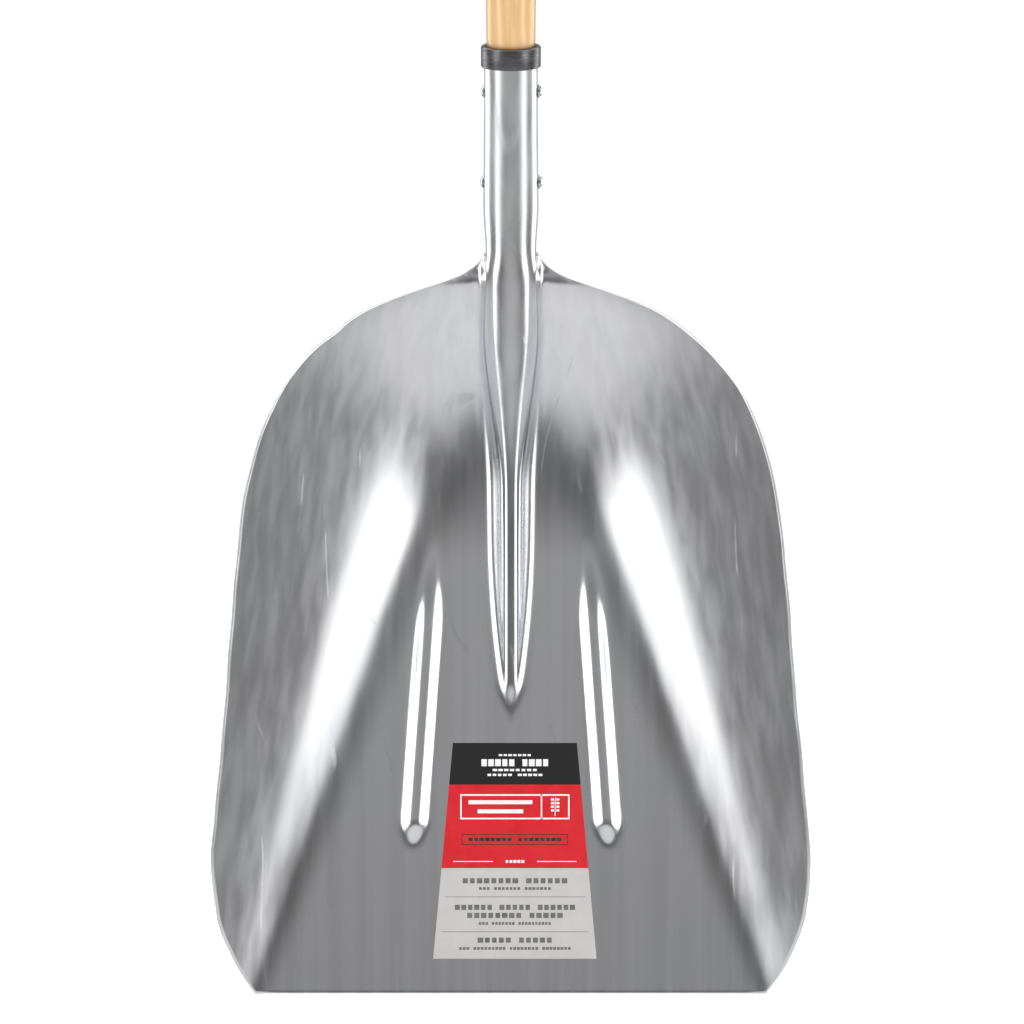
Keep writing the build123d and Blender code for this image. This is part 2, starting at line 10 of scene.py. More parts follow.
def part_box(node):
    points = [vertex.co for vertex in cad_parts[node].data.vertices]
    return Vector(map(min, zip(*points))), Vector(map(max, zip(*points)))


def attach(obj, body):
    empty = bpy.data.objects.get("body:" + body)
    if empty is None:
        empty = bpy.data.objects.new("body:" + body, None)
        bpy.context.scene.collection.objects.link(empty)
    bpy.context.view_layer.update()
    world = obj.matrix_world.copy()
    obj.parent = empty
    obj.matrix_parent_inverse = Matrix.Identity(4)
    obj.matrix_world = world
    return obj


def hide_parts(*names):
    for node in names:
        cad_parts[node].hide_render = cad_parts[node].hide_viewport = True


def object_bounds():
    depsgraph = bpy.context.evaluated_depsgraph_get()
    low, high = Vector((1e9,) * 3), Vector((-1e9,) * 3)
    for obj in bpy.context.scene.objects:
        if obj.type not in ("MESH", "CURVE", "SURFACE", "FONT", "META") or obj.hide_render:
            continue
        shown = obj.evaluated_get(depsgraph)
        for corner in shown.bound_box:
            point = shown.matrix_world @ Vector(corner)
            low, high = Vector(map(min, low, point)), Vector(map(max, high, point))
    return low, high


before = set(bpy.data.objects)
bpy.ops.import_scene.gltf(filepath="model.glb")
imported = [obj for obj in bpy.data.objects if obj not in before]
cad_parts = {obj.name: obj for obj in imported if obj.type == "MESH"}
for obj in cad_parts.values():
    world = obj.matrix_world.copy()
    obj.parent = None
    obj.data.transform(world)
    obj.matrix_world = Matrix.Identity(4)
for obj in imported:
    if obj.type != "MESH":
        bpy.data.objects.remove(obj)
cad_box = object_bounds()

MM = 0.001                  # lengths below are in millimetres

# ---- driving dimensions of the scoop ----------------------------------------------------------

SHEET = 1.8                 # sheet thickness
SHEET_EDGE = 0.5            # rounding of the sheet's cut edges
LIFT = radians(15.5)        # lean of the socket and the handle

NECK_Z, NECK_RISE = 477.0, 41.5
NECK_RADIUS, SOCKET_RADIUS, SOCKET_LENGTH = 18.0, 17.2, 142.0
MOUTH_Z = NECK_Z + SOCKET_LENGTH * cos(LIFT)
MOUTH_STRAIGHT = 20.0       # even length at the mouth of the socket
SEAM_GAP = 1.6
CURL_BOTTOM, CURL_TOP = 463.0, 516.0

FLOOR_FRONT, FLOOR_TAPER, FLOOR_PINCH = 160.0, 0.42, 34.0
SIDE_SLOPE = 1.07
SIDE_FOLD, SIDE_FOLD_GROWTH, SIDE_FOLD_MOST = 26.0, 0.175, 85.0
BACK_START, BACK_SLOPE, BACK_FOLD = 283.0, 0.34, 115.0
FLOOR_SOFTNESS = 10.0       # rounding where the floor's taper ends
WALL_SOFTNESS = 8.0         # rounding at the foot of the side wall, and where its fold stops opening
BACK_SOFTNESS = 10.0        # rounding at the foot of the back wall

RIDGE_TIP, RIDGE_SLOPE, RIDGE_FADE = 176.0, 0.137, 30.0
CREST_RADIUS, FOOT_RADIUS, FOOT_RADIUS_NECK = 6.5, 14.0, 10.0
RIDGE_ROUND_BOTTOM, RIDGE_ROUND_TOP = 330.0, 440.0
CREST_SOFTNESS = 10.0       # rounding where the crest starts to climb
SOCKET_BLEND = 6.0          # rounding where it meets the socket's front
STEEPEST_FLANK = radians(82)

RIB_HEIGHT, RIB_HALF_WIDTH = 4.6, 12.0
RIB_END_WIDTH = 0.6         # width of a rib's ends, as a share of its full width
RIB_BOTTOM, RIB_TOP = 95.0, 302.0
RIB_BOTTOM_RUNOUT, RIB_TOP_RUNOUT = 20.0, 62.0
RIB_OFFSET, RIB_OFFSET_Z, RIB_SPLAY = 64.0, 105.0, 0.071

OUTLINE = [
    (-6, 162.5), (0, 168), (24, 181.5), (56, 191.5), (90, 194), (122, 191), (190, 184),
    (318, 171), (360, 161), (392, 147.5), (416, 130), (432, 113), (445, 95), (454, 76),
    (461, 57), (467, 41), (472, 32), (478, 27), (486, 25), (520, 24.5),
]

RIM_TRIM = 0.3              # how far the rim is cut inside OUTLINE
RIM_WAVES = ((0.16, 7.3, 1.0), (0.12, 17.0, 2.1))   # (depth, length, shift between the two sides)
NICK_DEPTH, NICK_Z, NICK_REACH = 1.5, 431, 5.0

PRESS_MARK_WIDTH, PRESS_MARK_LENGTH = 70, 110
PRESS_MARK_DEPTH, FINE_MARK_DEPTH, FINE_MARK_SCALE = 0.10, 0.02, 3.1
PRESS_MARK_FADE = 40        # length over which the marks end at the neck

COLUMNS = 120               # mesh columns from the middle of the scoop to its rim
EVEN_SHARE, CROWDED_SHARE = 0.55, 0.45      # how far the columns crowd towards the middle
FINE_STEPS = 1500           # steps of the walk along a section that places those columns
PAN_ROW_STEP, NECK_ROW_STEP, SOCKET_ROW_STEP = 2.0, 1.0, 3.0
NECK_ROWS_FROM = 452
LAST_ROW_GAP = 3.5          # room left for the rows of the rounded mouth
EDGE_ROW = 0.3              # place of the extra row in the rounding of a cut end

# ---- driving dimensions of the fittings and the handle ----------------------------------------

COLLAR_LENGTH, COLLAR_RADIUS, COLLAR_LIP = 13.5, 19.2, 1.5
COLLAR_BORE = 17.7
COLLAR_TOP_SHEET = 1.2      # thickness of its turned-in upper lip
COLLAR_TOP_ROUND, COLLAR_FOOT_ROUND = 1.2, 0.9
CLEARANCE = 0.1             # between the shaft and the socket's fittings
SHAFT_FOOT_AT, SHAFT_FOOT_RADIUS = 34.0, 10.5
SHAFT_SEAT_AT = 50          # where its fitted length begins
SHAFT_SEAT_RADIUS, SHAFT_COLLAR_RADIUS = 15.1, 15.7
SHAFT_RADIUS, SHAFT_NECK_RADIUS, SHAFT_TOP_AT = 18.0, 16.5, 628.0
SHAFT_SWELL, SHAFT_SWELL_STEPS = 130.0, 24
SHAFT_NECK_AT, SHAFT_NECK_TAPER, SHAFT_NECK_STEPS = 538.0, 20, 8
CROSSBAR_AT, CROSSBAR_RADIUS, CROSSBAR_END_RADIUS = 712.0, 15.5, 12.6
CROSSBAR_BORE, CROSSBAR_ROUND, CROSSBAR_STEPS = 4.1, 1.0, 16
ARM_INNER = 52.9

NECK = Vector((0, -NECK_RISE, NECK_Z)) * MM
HANDLE_DIRECTION = Vector((0, -sin(LIFT), cos(LIFT)))
HANDLE_FRONT = Vector((0, -cos(LIFT), -sin(LIFT)))


def along(distance):
    """The point of the handle's axis at a distance, in millimetres, from the neck."""
    return NECK + HANDLE_DIRECTION * distance * MM


# ---- shape of the pressing --------------------------------------------------------------------

def ease(share):
    share = np.clip(share, 0.0, 1.0)
    return share * share * (3 - 2 * share)


def ramp(distance, softness):
    return (distance + np.hypot(distance, softness)) / 2


def fold(distance, slope, softness):
    return slope * (np.hypot(distance, softness) - softness)


def half_width(z):
    """Half-width of the pan: a smooth curve through OUTLINE that never overshoots."""
    heights = [point[0] for point in OUTLINE]
    widths = [point[1] for point in OUTLINE]
    spans = [b - a for a, b in zip(heights, heights[1:])]
    slopes = [(b - a) / span for a, b, span in zip(widths, widths[1:], spans)]

    def tangent(i):
        if i == 0:
            return slopes[0]
        if i == len(slopes):
            return slopes[-1]
        before, after = slopes[i - 1], slopes[i]
        if before * after <= 0:
            return 0.0
        return 2 * before * after / (before + after)

    i = min(max(bisect_right(heights, z) - 1, 0), len(spans) - 1)
    t = (z - heights[i]) / spans[i]
    return (
        (1 + 2 * t) * (1 - t) ** 2 * widths[i]
        + t * (1 - t) ** 2 * spans[i] * tangent(i)
        + t * t * (3 - 2 * t) * widths[i + 1]
        + t * t * (t - 1) * spans[i] * tangent(i + 1)
    )


def axis_rise(z):
    return NECK_RISE + (z - NECK_Z) * tan(LIFT)


def tube_radius(z):
    share = (z - NECK_Z) / (MOUTH_Z - NECK_Z - MOUTH_STRAIGHT)
    return NECK_RADIUS + (SOCKET_RADIUS - NECK_RADIUS) * ease(share)


def wall_rise(x, z):
    tapered = FLOOR_FRONT + FLOOR_PINCH - FLOOR_TAPER * z
    floor_half_width = ramp(tapered, FLOOR_SOFTNESS) - FLOOR_PINCH
    across = np.hypot(x, ramp(-floor_half_width, FLOOR_SOFTNESS))
    opening = SIDE_FOLD_MOST - SIDE_FOLD - SIDE_FOLD_GROWTH * z
    softness = SIDE_FOLD_MOST - ramp(opening, WALL_SOFTNESS)
    side = fold(ramp(across - floor_half_width, WALL_SOFTNESS), SIDE_SLOPE, softness)
    back = fold(ramp(z - BACK_START, BACK_SOFTNESS), BACK_SLOPE, BACK_FOLD)
    return np.hypot(side, back)


def crest_rise(z):
    socket_front = axis_rise(z) + tube_radius(z) / cos(LIFT)
    low_crest = RIDGE_SLOPE * ramp(z - RIDGE_TIP, CREST_SOFTNESS)
    return socket_front + ramp(low_crest - socket_front, SOCKET_BLEND)


def ridge_rise(x, z):
    """The ridge over the wall: a round crest, a short flank and a hollow foot."""
    height = (crest_rise(z) - wall_rise(0, z)) * ease((z - RIDGE_TIP) / RIDGE_FADE)
    if height <= 0:
        return np.zeros_like(x)
    roundness = ease((z - RIDGE_ROUND_BOTTOM) / (RIDGE_ROUND_TOP - RIDGE_ROUND_BOTTOM))
    crest = CREST_RADIUS + (NECK_RADIUS - CREST_RADIUS) * roundness
    foot = FOOT_RADIUS + (FOOT_RADIUS_NECK - FOOT_RADIUS) * roundness
    flank = min(np.arccos(max(1 - height / (crest + foot), 0.0)), STEEPEST_FLANK)
    straight = (height - (crest + foot) * (1 - cos(flank))) / tan(flank)
    crest_end = crest * sin(flank)
    foot_start = crest_end + straight
    foot_end = foot_start + foot * sin(flank)
    across = abs(x)
    round_crest = height - crest + np.sqrt(np.maximum(crest ** 2 - across ** 2, 0))
    slope = foot * (1 - cos(flank)) + (foot_start - across) * tan(flank)
    hollow_foot = foot - np.sqrt(np.maximum(foot ** 2 - (foot_end - across) ** 2, 0))
    places = [across <= crest_end, across <= foot_start, across < foot_end]
    return np.select(places, [round_crest, slope, hollow_foot], 0.0)


def rib_rise(x, z):
    centre = RIB_OFFSET - (z - RIB_OFFSET_Z) * RIB_SPLAY
    ends = ease((z - RIB_BOTTOM) / RIB_BOTTOM_RUNOUT) * ease((RIB_TOP - z) / RIB_TOP_RUNOUT)
    reach = RIB_HALF_WIDTH * (RIB_END_WIDTH + (1 - RIB_END_WIDTH) * ends)
    off_centre = np.minimum(abs(abs(x) - centre) / reach, 1)
    return RIB_HEIGHT * ends * (1 + np.cos(pi * off_centre)) / 2


def pan_rise(x, z):
    return wall_rise(x, z) + ridge_rise(x, z) + rib_rise(x, z)


def rim_trim(z, side):
    """How far the trimmed rim falls short of the drawn outline: shears' waves, and one nick."""
    waves = sum(depth * sin(z / length + shift * side) for depth, length, shift in RIM_WAVES)
    nick = NICK_DEPTH * np.exp(-(((z - NICK_Z) / NICK_REACH) ** 2)) if side < 0 else 0.0
    return RIM_TRIM + waves + nick


def pan_half(z, side, shares):
    rim = half_width(z) - rim_trim(z, side)
    walk = np.linspace(0, rim, FINE_STEPS + 1)
    rises = pan_rise(walk, z)
    lengths = np.concatenate([[0], np.cumsum(np.hypot(np.diff(walk), np.diff(rises)))])
    x = np.interp(shares * lengths[-1], lengths, walk)
    return x, pan_rise(x, z)


def tube_half(z, shares):
    radius = tube_radius(z)
    angles = shares * (pi - SEAM_GAP / 2 / radius)
    return radius * np.sin(angles), axis_rise(z) + radius * np.cos(angles) / cos(LIFT)


def sheet_half(z, side, shares):
    """(across, rise) from the middle to one rim, as the pan curls into the socket."""
    curl = ease((z - CURL_BOTTOM) / (CURL_TOP - CURL_BOTTOM))
    pan_x, pan_up = pan_half(z, side, shares)
    tube_x, tube_up = tube_half(z, shares)
    return pan_x + (tube_x - pan_x) * curl, pan_up + (tube_up - pan_up) * curl


def press_marks(x, z):
    """Slight unevenness that the press leaves: long soft waves, with fainter short ones."""
    place = Vector((x / PRESS_MARK_WIDTH, z / PRESS_MARK_LENGTH, 3.0))
    fine = noise.noise(place * FINE_MARK_SCALE)
    return PRESS_MARK_DEPTH * noise.noise(place) + FINE_MARK_DEPTH * fine


# ---- mesh tools -------------------------------------------------------------------------------

def mesh_piece(name, vertices, faces, material, smooth=True):
    mesh = bpy.data.meshes.new(name)
    mesh.from_pydata([tuple(v) for v in vertices], [], faces)
    mesh.validate()
    if smooth:
        mesh.shade_smooth()
    piece = bpy.data.objects.new(name, mesh)
    bpy.context.scene.collection.objects.link(piece)
    mesh.materials.append(material)
    return piece


def turned_piece(name, outline, origin, direction, front, material, segments=96):
    """A lathe-turned piece: outline is (radius, distance along the axis) in millimetres, closed."""
    side = direction.cross(front).normalized()
    vertices = []
    for radius, distance in outline:
        for k in range(segments):
            angle = 2 * pi * k / segments
            arm = front * cos(angle) + side * sin(angle)
            vertices.append(origin + direction * distance * MM + arm * radius * MM)
    faces = []
    count = len(outline)
    for i in range(count):
        j = (i + 1) % count
        if outline[i][0] == 0 and outline[j][0] == 0:
            continue
        for k in range(segments):
            following = (k + 1) % segments
            a, b = i * segments + k, i * segments + following
            c, d = j * segments + following, j * segments + k
            if outline[i][0] == 0:
                faces.append((a, c, d))
            elif outline[j][0] == 0:
                faces.append((a, b, d))
            else:
                faces.append((a, b, c, d))
    piece = mesh_piece(name, vertices, faces, material)
    weld = piece.modifiers.new("weld", "WELD")
    weld.merge_threshold = 0.00001
    return piece


# ---- materials --------------------------------------------------------------------------------

class Shop:
    """Adds nodes to one node tree and joins them up."""

    def __init__(self, tree):
        self.tree = tree

    def add(self, kind, inputs=None, **settings):
        node = self.tree.nodes.new(kind)
        for key, value in settings.items():
            setattr(node, key, value)
        for key, value in (inputs or {}).items():
            self.feed(node, key, value)
        return node

    def feed(self, node, key, value):
        if isinstance(value, bpy.types.NodeSocket):
            self.tree.links.new(value, node.inputs[key])
        else:
            node.inputs[key].default_value = value

    def math(self, operation, first, second=0.0, third=0.0):
        node = self.add("ShaderNodeMath", operation=operation)
        for key, value in enumerate((first, second, third)):
            self.feed(node, key, value)
        return node.outputs[0]

    def between(self, value, low, high, out_low=0.0, out_high=1.0, smooth=True):
        kind = "SMOOTHSTEP" if smooth else "LINEAR"
        node = self.add("ShaderNodeMapRange", interpolation_type=kind)
        names = ("Value", "From Min", "From Max", "To Min", "To Max")
        for key, number in zip(names, (value, low, high, out_low, out_high)):
            self.feed(node, key, number)
        return node.outputs[0]

    def mix(self, share, first, second):
        node = self.add("ShaderNodeMix", data_type="RGBA")
        for key, value in ((0, share), (6, first), (7, second)):
            self.feed(node, key, value)
        return node.outputs[2]

    def noise(self, vector, scale, detail=2.0, roughness=0.5, distortion=0.0):
        sizes = {"Vector": vector, "Scale": scale, "Detail": detail}
        sizes.update({"Roughness": roughness, "Distortion": distortion})
        return self.add("ShaderNodeTexNoise", sizes).outputs["Fac"]

    def stretched(self, vector, scale):
        node = self.add("ShaderNodeVectorMath", {0: vector, 1: scale}, operation="MULTIPLY")
        return node.outputs[0]

    def place(self):
        return self.add("ShaderNodeTexCoord").outputs["Object"]

    def lengthwise(self):
        """Coordinates with x across, y to the back and z along the handle, from the neck."""
        turn = self.add("ShaderNodeMapping", {"Vector": self.place()}, vector_type="TEXTURE")
        turn.inputs["Location"].default_value = NECK
        turn.inputs["Rotation"].default_value = (LIFT, 0, 0)
        return turn.outputs[0]


def finish(name):
    material = bpy.data.materials.new(name)
    material.use_nodes = True
    shop = Shop(material.node_tree)
    surface = material.node_tree.nodes["Principled BSDF"]
    return material, shop, surface


def effect(name, inputs, outputs):
    """A shader node group with named inputs and outputs."""
    group = bpy.data.node_groups.new(name, "ShaderNodeTree")
    for label, kind, value in inputs:
        socket = group.interface.new_socket(label, in_out="INPUT", socket_type=kind)
        if value is not None:
            socket.default_value = value
    for label, kind in outputs:
        group.interface.new_socket(label, in_out="OUTPUT", socket_type=kind)
    shop = Shop(group)
    entry = shop.add("NodeGroupInput")
    leave = shop.add("NodeGroupOutput")
    return group, shop, entry.outputs, leave


def use_effect(shop, group, **values):
    node = shop.add("ShaderNodeGroup", node_tree=group)
    for key, value in values.items():
        shop.feed(node, key, value)
    return node.outputs


FLOAT, VECTOR = "NodeSocketFloat", "NodeSocketVector"


def fine_lines():
    """Long fine lines, as from rolling, drawing or brushing: Vector is squeezed along the lines."""
    group, shop, given, leave = effect(
        "fine_lines",
        [("Vector", VECTOR, None), ("Density", FLOAT, 900.0)],
        [("Lines", FLOAT), ("Bands", FLOAT)],
    )
    close = shop.noise(given["Vector"], given["Density"], 3.0, 0.65)
    wide = shop.noise(given["Vector"], shop.math("MULTIPLY", given["Density"], 0.12), 2.0, 0.5)
    shop.feed(leave, "Lines", close)
    shop.feed(leave, "Bands", wide)
    return group


def scratches():
    """Sparse hairline scratches, 1 on a scratch and 0 between."""
    group, shop, given, leave = effect(
        "scratches",
        [("Vector", VECTOR, None), ("Density", FLOAT, 40.0), ("Amount", FLOAT, 0.5)],
        [("Mask", FLOAT)],
    )
    wave = {"Vector": given["Vector"], "Distortion": 18.0}
    bent = shop.add("ShaderNodeTexWave", wave, bands_direction="DIAGONAL")
    shop.feed(bent, "Scale", shop.math("MULTIPLY", given["Density"], 0.35))
    shop.feed(bent, "Detail", 1.0)
    shop.feed(bent, "Detail Scale", 0.6)
    line = shop.between(bent.outputs["Fac"], 0.985, 1.0)
    gaps = shop.between(shop.noise(given["Vector"], given["Density"], 2.0), 0.56, 0.64)
    mask = shop.math("MULTIPLY", shop.math("MULTIPLY", line, gaps), given["Amount"])
    shop.feed(leave, "Mask", mask)
    return group


def cloudiness():
    """Soft uneven patches, from 0 to 1."""
    group, shop, given, leave = effect(
        "cloudiness",
        [("Vector", VECTOR, None), ("Size", FLOAT, 8.0)],
        [("Clouds", FLOAT)],
    )
    patches = shop.noise(given["Vector"], given["Size"], 3.0, 0.55)
    shop.feed(leave, "Clouds", shop.between(patches, 0.3, 0.7))
    return group


LINES = fine_lines()
SCRATCHES = scratches()
CLOUDS = cloudiness()


def bump(shop, surface, height, strength, distance):
    node = shop.add("ShaderNodeBump", {"Strength": strength, "Distance": distance, "Height": height})
    shop.feed(surface, "Normal", node.outputs[0])


def scoop_aluminium():
    """Rolled aluminium sheet: fine lengthwise lines, faint warm and cool clouds, hairline scratches."""
    material, shop, surface = finish("scoop_aluminium")
    place = shop.place()
    rolled = use_effect(shop, LINES, Vector=shop.stretched(place, (1, 1, 0.025)), Density=900.0)
    long = shop.stretched(place, (1, 1, 0.35))
    scuffed = use_effect(shop, SCRATCHES, Vector=long, Density=45.0, Amount=0.5)
    clouds = use_effect(shop, CLOUDS, Vector=place, Size=9.0)
    tint = shop.mix(clouds["Clouds"], (0.84, 0.83, 0.85, 1), (0.82, 0.84, 0.87, 1))
    bands = shop.between(rolled["Bands"], 0.3, 0.7, 0.94, 1.04)
    lit = shop.add("ShaderNodeVectorMath", {0: tint, 3: bands}, operation="SCALE").outputs[0]
    shop.feed(surface, "Base Color", lit)
    surface.inputs["Metallic"].default_value = 1.0
    satin = shop.between(rolled["Bands"], 0.25, 0.75, 0.14, 0.19)
    height = shop.add("ShaderNodeSeparateXYZ", {"Vector": place}).outputs["Z"]
    rolled_socket = shop.between(height, 0.44, 0.54, 0.0, 0.13)
    satin = shop.math("ADD", satin, rolled_socket)
    dull = shop.math("ADD", satin, shop.math("MULTIPLY", scuffed["Mask"], 0.2))
    cloudy = shop.math("MULTIPLY_ADD", clouds["Clouds"], 0.04, dull)
    shop.feed(surface, "Roughness", cloudy)
    relief = shop.math("MULTIPLY_ADD", scuffed["Mask"], -0.6, rolled["Lines"])
    bump(shop, surface, relief, 0.12, 0.00003)
    return material


def collar_steel():
    """Dark gun-metal ring, brushed round the socket."""
    material, shop, surface = finish("collar_steel")
    place = shop.lengthwise()
    brushed = use_effect(shop, LINES, Vector=shop.stretched(place, (0.03, 0.03, 1)), Density=1600.0)
    scuffed = use_effect(shop, SCRATCHES, Vector=place, Density=160.0, Amount=0.7)
    colour = shop.mix(brushed["Bands"], (0.10, 0.10, 0.105, 1), (0.2, 0.2, 0.21, 1))
    worn = shop.mix(scuffed["Mask"], colour, (0.5, 0.5, 0.5, 1))
    shop.feed(surface, "Base Color", worn)
    surface.inputs["Metallic"].default_value = 0.9
    shop.feed(surface, "Roughness", shop.between(brushed["Lines"], 0.3, 0.7, 0.24, 0.4))
    bump(shop, surface, brushed["Lines"], 0.3, 0.00004)
    return material


def rivet_steel():
    """Bright steel, hammered and handled."""
    material, shop, surface = finish("rivet_steel")
    place = shop.place()
    clouds = use_effect(shop, CLOUDS, Vector=place, Size=350.0)
    scuffed = use_effect(shop, SCRATCHES, Vector=place, Density=350.0, Amount=0.6)
    steel = shop.mix(clouds["Clouds"], (0.5, 0.5, 0.51, 1), (0.72, 0.72, 0.73, 1))
    shop.feed(surface, "Base Color", steel)
    surface.inputs["Metallic"].default_value = 1.0
    rough = shop.between(clouds["Clouds"], 0.0, 1.0, 0.32, 0.2)
    shop.feed(surface, "Roughness", shop.math("MULTIPLY_ADD", scuffed["Mask"], 0.2, rough))
    bump(shop, surface, clouds["Clouds"], 0.4, 0.0001)
    return material


def yoke_steel():
    """Black baked enamel over pressed steel: slight orange peel, rubbed patches."""
    material, shop, surface = finish("yoke_steel")
    place = shop.lengthwise()
    clouds = use_effect(shop, CLOUDS, Vector=place, Size=40.0)
    scuffed = use_effect(shop, SCRATCHES, Vector=place, Density=90.0, Amount=0.8)
    enamel = shop.mix(clouds["Clouds"], (0.016, 0.016, 0.018, 1), (0.03, 0.03, 0.033, 1))
    shop.feed(surface, "Base Color", shop.mix(scuffed["Mask"], enamel, (0.3, 0.3, 0.3, 1)))
    surface.inputs["Coat Weight"].default_value = 0.4
    surface.inputs["Coat Roughness"].default_value = 0.2
    shop.feed(surface, "Roughness", shop.between(clouds["Clouds"], 0.0, 1.0, 0.3, 0.42))
    bump(shop, surface, shop.noise(place, 900.0, 1.0), 0.15, 0.0001)
    return material


def handle_wood():
    """Pale lacquered hardwood: lengthwise grain, short pores, and a few small pin knots."""
    material, shop, surface = finish("handle_wood")
    place = shop.lengthwise()
    sawn = shop.stretched(place, (1, 1, 0.06))
    wavy = shop.noise(sawn, 26.0, 3.0, 0.5, 0.6)
    grain = shop.math("FRACT", shop.math("MULTIPLY", wavy, 7.0))
    early = shop.between(shop.math("PINGPONG", grain, 0.5), 0.0, 0.5)
    pores = use_effect(shop, LINES, Vector=shop.stretched(place, (1, 1, 0.02)), Density=1300.0)
    clouds = use_effect(shop, CLOUDS, Vector=shop.stretched(place, (1, 1, 0.2)), Size=14.0)
    pale = shop.mix(early, (0.60, 0.37, 0.165, 1), (0.71, 0.475, 0.24, 1))
    warm = shop.mix(shop.math("MULTIPLY", clouds["Clouds"], 0.5), pale, (0.66, 0.40, 0.18, 1))
    dark_pores = shop.between(pores["Lines"], 0.6, 0.72, 0.0, 0.45)
    streaked = shop.mix(dark_pores, warm, (0.36, 0.19, 0.07, 1))
    oval = shop.stretched(place, (1, 1, 0.5))
    spots = shop.add("ShaderNodeTexVoronoi", {"Vector": oval, "Scale": 26.0})
    knots = shop.between(spots.outputs["Distance"], 0.05, 0.11, 0.8, 0.0)
    shop.feed(surface, "Base Color", shop.mix(knots, streaked, (0.25, 0.11, 0.04, 1)))
    surface.inputs["Coat Weight"].default_value = 0.6
    surface.inputs["Coat Roughness"].default_value = 0.12
    shop.feed(surface, "Roughness", shop.between(pores["Bands"], 0.3, 0.7, 0.34, 0.46))
    bump(shop, surface, pores["Lines"], 0.12, 0.00005)
    return material


BLACK_BAND_FOOT = 0.1376    # heights of the label's colour changes, in metres
RED_BAND_FOOT = 0.0826


def printed_film(name, colour, worn):
    """One ink on the label: nearly even, with the film's faint mottle."""
    material, shop, surface = finish(name)
    clouds = use_effect(shop, CLOUDS, Vector=shop.place(), Size=160.0)
    shop.feed(surface, "Base Color", shop.mix(clouds["Clouds"], (*colour, 1), (*worn, 1)))
    shop.feed(surface, "Roughness", shop.between(clouds["Clouds"], 0.0, 1.0, 0.38, 0.46))
    return material


def label_film():
    """Glossy film with a black band over a red one over a silver-grey one."""
    material, shop, surface = finish("label_film")
    place = shop.place()
    height = shop.add("ShaderNodeSeparateXYZ", {"Vector": place}).outputs["Z"]
    over_red = shop.math("GREATER_THAN", height, RED_BAND_FOOT)
    over_black = shop.math("GREATER_THAN", height, BLACK_BAND_FOOT)
    clouds = use_effect(shop, CLOUDS, Vector=place, Size=60.0)
    silver = shop.mix(clouds["Clouds"], (0.47, 0.465, 0.45, 1), (0.50, 0.495, 0.48, 1))
    red = shop.mix(clouds["Clouds"], (0.56, 0.003, 0.010, 1), (0.62, 0.005, 0.014, 1))
    colour = shop.mix(over_red, silver, red)
    shop.feed(surface, "Base Color", shop.mix(over_black, colour, (0.013, 0.013, 0.014, 1)))
    shop.feed(surface, "Roughness", shop.between(clouds["Clouds"], 0.0, 1.0, 0.34, 0.42))
    bump(shop, surface, shop.noise(place, 90.0, 2.0), 0.05, 0.0004)
    return material


# ---- the scoop --------------------------------------------------------------------------------

def scoop_rows():
    """Heights of the mesh rows: even along the pan, closer at the neck, wider along the socket."""
    rows = [0.0, SHEET_EDGE * EDGE_ROW, SHEET_EDGE]
    while rows[-1] < MOUTH_Z - LAST_ROW_GAP:
        z = rows[-1]
        if z < NECK_ROWS_FROM:
            rows.append(z + PAN_ROW_STEP)
        elif z < CURL_TOP:
            rows.append(z + NECK_ROW_STEP)
        else:
            rows.append(z + SOCKET_ROW_STEP)
    return rows + [MOUTH_Z - SHEET_EDGE, MOUTH_Z - SHEET_EDGE * EDGE_ROW, MOUTH_Z]


def end_inset(z, rows):
    """Share of the sheet's half-thickness lost to the rounding at the two cut ends."""
    share = SHEET_EDGE / (SHEET / 2)
    if z in (rows[0], rows[-1]):
        return share
    if z in (rows[1], rows[-2]):
        return share * EDGE_ROW
    return 0.0


def section_loop(z, shares):
    """Front and back points of one section, left rim to right rim, with rounded cut edges."""
    left_x, left_up = sheet_half(z, -1, shares)
    right_x, right_up = sheet_half(z, 1, shares)
    line = [(-x, up) for x, up in zip(left_x[:0:-1], left_up[:0:-1])]
    line += list(zip(right_x, right_up))
    fade = 1 - ease((z - CURL_BOTTOM + PRESS_MARK_FADE / 2) / PRESS_MARK_FADE)
    line = [(x, up + press_marks(x, z) * fade) for x, up in line]
    front, back = [], []
    last = len(line) - 1
    for i, (x, up) in enumerate(line):
        before, after = line[max(i - 1, 0)], line[min(i + 1, last)]
        run, climb = after[0] - before[0], after[1] - before[1]
        reach = hypot(run, climb)
        run, climb = run / reach, climb / reach
        if 0 < i < last:
            front.append((x, up))
            back.append((x + climb * SHEET, up - run * SHEET))
            continue
        out = 1 if i == last else -1
        corners = []
        for angle in (0, pi / 4, pi / 2):
            inward = SHEET_EDGE * (1 - sin(angle))
            down = SHEET_EDGE * (1 - cos(angle))
            corner_x, corner_up = x - out * run * inward, up - out * climb * inward
            corners.append((
                (corner_x + climb * down, corner_up - run * down),
                (corner_x + climb * (SHEET - down), corner_up - run * (SHEET - down)),
            ))
        if out < 0:
            corners.reverse()
        front += [pair[0] for pair in corners]
        back += [pair[1] for pair in corners]
    return front, back


